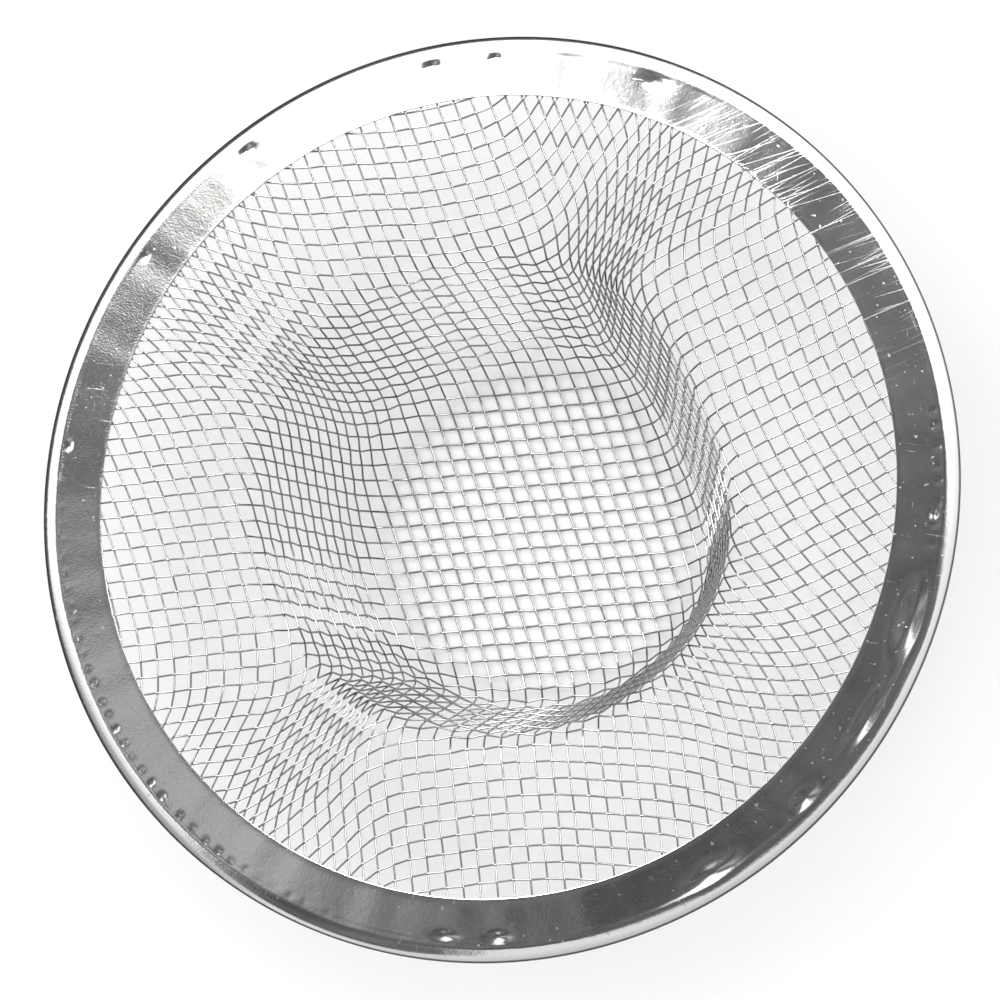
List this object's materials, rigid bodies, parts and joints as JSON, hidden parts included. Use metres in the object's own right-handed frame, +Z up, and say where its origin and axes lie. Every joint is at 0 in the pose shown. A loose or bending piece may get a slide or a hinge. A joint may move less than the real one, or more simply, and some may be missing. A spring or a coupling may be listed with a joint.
{
  "type": "sink basket strainer",
  "caption": "Round sink strainer: a woven stainless wire cloth pressed into a shallow funnel with a deep flat-floored cup, held in a wide sheet rim that is folded under it.",
  "frame": {"origin": "middle of the underside of the cup's floor, which is the lowest point of the strainer", "axes": "+Z up along the axis of the rim and cup, out of the basket's mouth; +X and +Y have no special direction because the rim and cup are round"},
  "size_m": [0.114, 0.114, 0.027],
  "materials": {
    "rim_sheet": "polished, finely scratched",
    "cloth_wire": "bright drawn wire"
  },
  "bodies": {
    "root": {"rim_band": "rim_sheet", "wire_cloth": "cloth_wire"}
  },
  "joints": []
}
